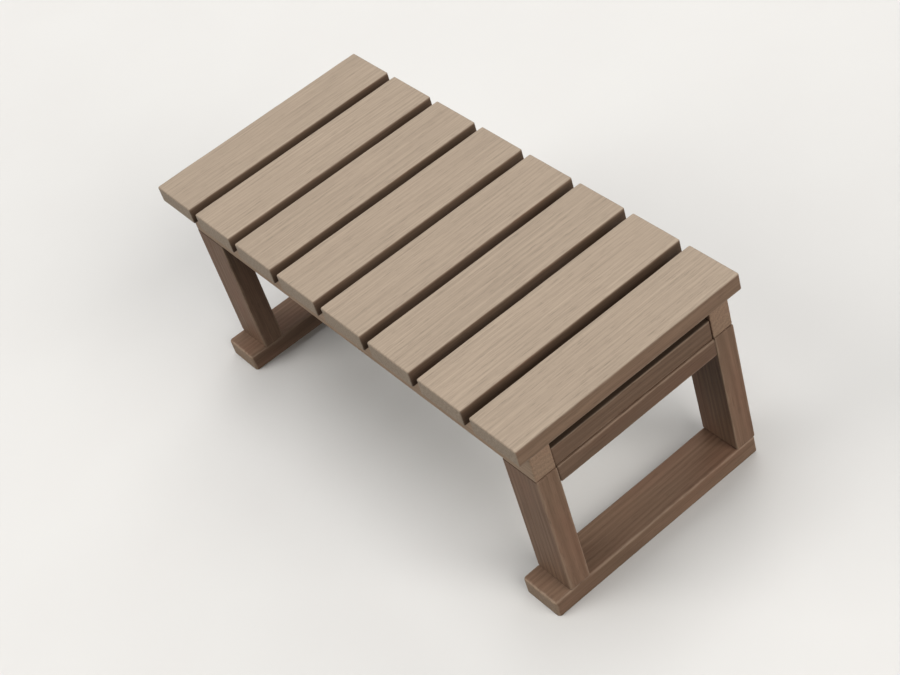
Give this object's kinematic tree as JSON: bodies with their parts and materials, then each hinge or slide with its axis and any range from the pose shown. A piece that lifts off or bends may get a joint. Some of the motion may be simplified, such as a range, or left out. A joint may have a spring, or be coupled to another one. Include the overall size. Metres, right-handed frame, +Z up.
{
  "type": "spa steps",
  "caption": "Low slatted step for a spa tub: a tread of spaced boards on two bearers, carried by two open side frames with toed foot rails.",
  "frame": {"origin": "centre of the overall footprint, at floor level", "axes": "+X along the width, from the side frame with the wide overhang to the other; +Y from the front towards the tub; +Z up"},
  "size_m": [0.588, 0.275, 0.226],
  "materials": {
    "tread_board": "brushed matt boards, greige-brown stain",
    "frame_board": "planed matt boards, brown stain",
    "screw": "plain stainless",
    "dowel": "raw beech"
  },
  "bodies": {
    "root": {"slat_1": "tread_board", "slat_2": "tread_board", "slat_3": "tread_board", "slat_4": "tread_board", "slat_5": "tread_board", "slat_6": "tread_board", "slat_7": "tread_board", "slat_8": "tread_board", "front_bearer": "frame_board", "back_bearer": "frame_board", "left_side_board": "frame_board", "left_side_rail": "frame_board", "left_front_leg": "frame_board", "left_back_leg": "frame_board", "left_foot_rail": "frame_board", "right_side_board": "frame_board", "right_side_rail": "frame_board", "right_front_leg": "frame_board", "right_back_leg": "frame_board", "right_foot_rail": "frame_board", "slat_screws": "screw", "side_rail_screws": "screw", "foot_screws": "screw", "side_rail_dowels": "dowel", "side_board_dowels": "dowel", "leg_dowels": "dowel"}
  },
  "joints": []
}
